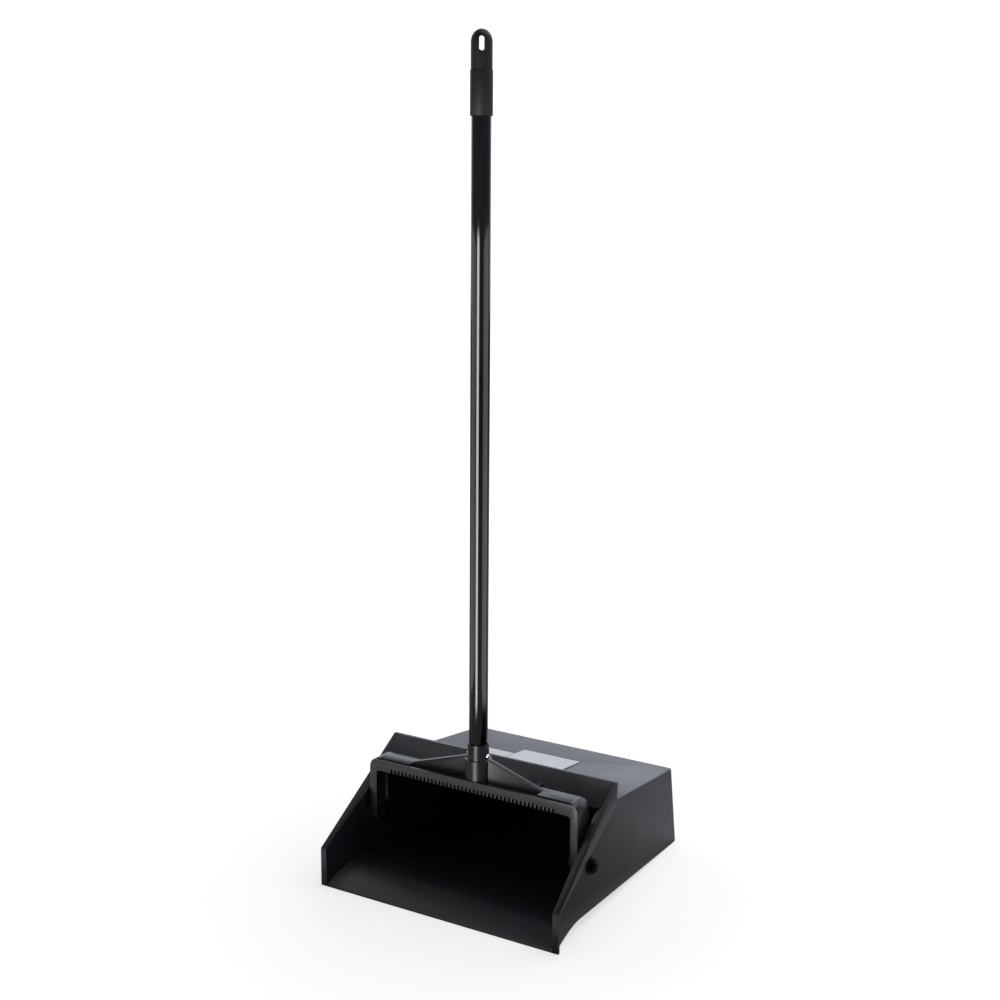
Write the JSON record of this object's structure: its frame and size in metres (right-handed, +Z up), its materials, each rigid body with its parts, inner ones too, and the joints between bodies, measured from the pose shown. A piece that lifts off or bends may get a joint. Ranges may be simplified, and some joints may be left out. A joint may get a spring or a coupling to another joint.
{
  "type": "upright lobby dust pan",
  "caption": "Upright lobby dust pan: moulded bin with a ramped lip and a hood, hung on a hinged yoke with comb teeth, with a tube handle, grip and hang slot.",
  "frame": {"origin": "middle of the pan's footprint, on the floor", "axes": "+Z up along the handle, +Y from the lip to the rear of the bin, +X to the right seen from the front"},
  "size_m": [0.3074, 0.325, 0.927],
  "materials": {
    "pan_plastic": "moulded black polypropylene, fine texture",
    "yoke_plastic": "moulded black polypropylene, satin",
    "handle_enamel": "glossy black enamel on steel tube",
    "grip_polymer": "matte black grip plastic",
    "rivet_steel": "bright zinc",
    "bolt_steel": "black oxide",
    "washer_nylon": "black nylon",
    "label_film": "blank grey film label"
  },
  "bodies": {
    "pan": {"pan_body": "pan_plastic", "info_label": "label_film", "side_label": "label_film", "pivot_bolt_left": "bolt_steel", "pivot_bolt_right": "bolt_steel", "thrust_washer_left": "washer_nylon", "thrust_washer_right": "washer_nylon", "outer_washer_left": "bolt_steel", "outer_washer_right": "bolt_steel", "lock_nut_left": "bolt_steel", "lock_nut_right": "bolt_steel"},
    "handle": {"yoke": "yoke_plastic", "handle_tube": "handle_enamel", "socket_rivet": "rivet_steel", "grip_sleeve": "grip_polymer", "hang_cap": "grip_polymer"}
  },
  "joints": [
    {"name": "pan_hinge", "type": "hinge", "parent": "pan", "child": "handle", "pos_m": [0, -0.0795, 0.0635], "axis": [1, 0, 0], "range_deg": [0, 90]}
  ]
}
